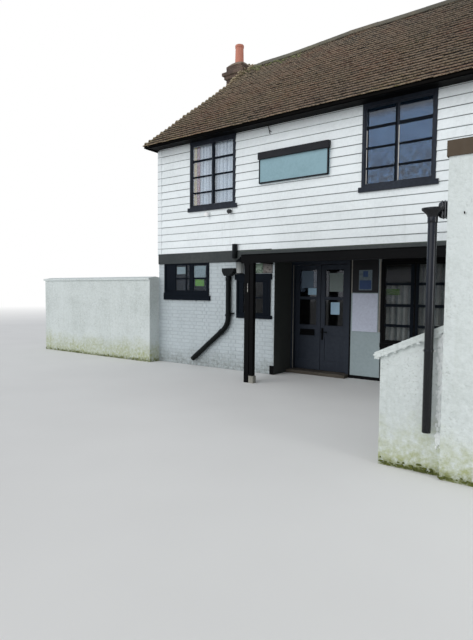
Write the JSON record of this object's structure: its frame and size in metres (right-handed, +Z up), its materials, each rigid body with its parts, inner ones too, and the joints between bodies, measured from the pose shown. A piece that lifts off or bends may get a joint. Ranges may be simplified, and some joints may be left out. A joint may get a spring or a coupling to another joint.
{
  "type": "weatherboarded inn",
  "caption": "Weatherboarded inn with a hipped tiled roof, a recessed entrance under a canopy and a low rendered wing; hollow, with entrance doors that open inwards",
  "frame": {"origin": "on the ground, at the middle of the main block's depth and 3.3 m from the outer face of its left end wall", "axes": "+X to the right along the front, +Y from the front to the back, +Z up"},
  "size_m": [14.227, 7.96, 7.305],
  "materials": {
    "floor": "worn boards",
    "painted_brick": "white paint on brick, matt and dirty at the foot",
    "dark_wall": "black masonry paint, matt",
    "black_timber": "black paint, satin and dusty",
    "weatherboard": "white paint, satin, grey in the laps",
    "roof_tile": "old plain clay tile, matt, mossy",
    "brick": "sooty brick, matt",
    "terracotta": "matt",
    "window_frame": "blue-black paint, satin",
    "window_glass": "clear float glass",
    "door_paint": "slate blue paint, satin",
    "black_metal": "black, satin",
    "concrete": "worn concrete, matt",
    "canopy_felt": "mineral felt with algae, matt",
    "notice_board": "white board, gone lilac grey",
    "sign_paint": "pale blue-green paint, bare",
    "render": "white masonry paint on render, algae at the foot",
    "brown_board": "brown paint, matt",
    "pipe": "black, dull",
    "lamp": "satin"
  },
  "bodies": {
    "house": {"ground_floor": "floor", "upper_floor": "floor", "front_wall_lower": "painted_brick", "left_wall_lower": "painted_brick", "right_wall_lower": "painted_brick", "back_wall_lower": "painted_brick", "recess_side_wall": "dark_wall", "recess_back_wall": "dark_wall", "door_lintel": "dark_wall", "front_beam": "black_timber", "eaves_long": "black_timber", "eaves_ends": "black_timber", "canopy_beam": "black_timber", "porch_posts": "black_timber", "front_wall_upper": "weatherboard", "back_wall_upper": "weatherboard", "left_wall_upper": "weatherboard", "right_wall_upper": "weatherboard", "roof_front": "roof_tile", "roof_back": "roof_tile", "roof_left": "roof_tile", "roof_right": "roof_tile", "ridge_tiles": "roof_tile", "chimney_stack": "brick", "chimney_pot": "terracotta", "windows_upper": "window_frame", "windows_lower": "window_frame", "window_recess": "window_frame", "glass_upper": "window_glass", "glass_lower": "window_glass", "door_frame": "door_paint", "doorstep": "concrete", "post_block": "concrete", "canopy_roof": "canopy_felt", "wing_roof": "canopy_felt", "notice_panel": "notice_board", "sign_board": "sign_paint", "wing_front_wall": "render", "wing_left_wall": "render", "wing_right_wall": "render", "wing_back_wall": "render", "raking_wall": "render", "yard_wall": "render", "wing_fascia": "brown_board", "rainwater_pipe": "pipe", "waste_pipe": "pipe", "spot_lamps": "lamp"},
    "left_door": {"door_leaf_left": "door_paint", "door_glass_left": "window_glass", "letter_plate": "black_metal"},
    "right_door": {"door_leaf_right": "door_paint", "door_glass_right": "window_glass", "door_handle": "black_metal"}
  },
  "joints": [
    {"name": "left_door_hinge", "type": "hinge", "parent": "house", "child": "left_door", "pos_m": [-0.286, -1.29, 1.05], "axis": [0, 0, 1], "range_deg": [0, 90]},
    {"name": "right_door_hinge", "type": "hinge", "parent": "house", "child": "right_door", "pos_m": [0.766, -1.29, 1.05], "axis": [0, 0, -1], "range_deg": [0, 90]}
  ]
}
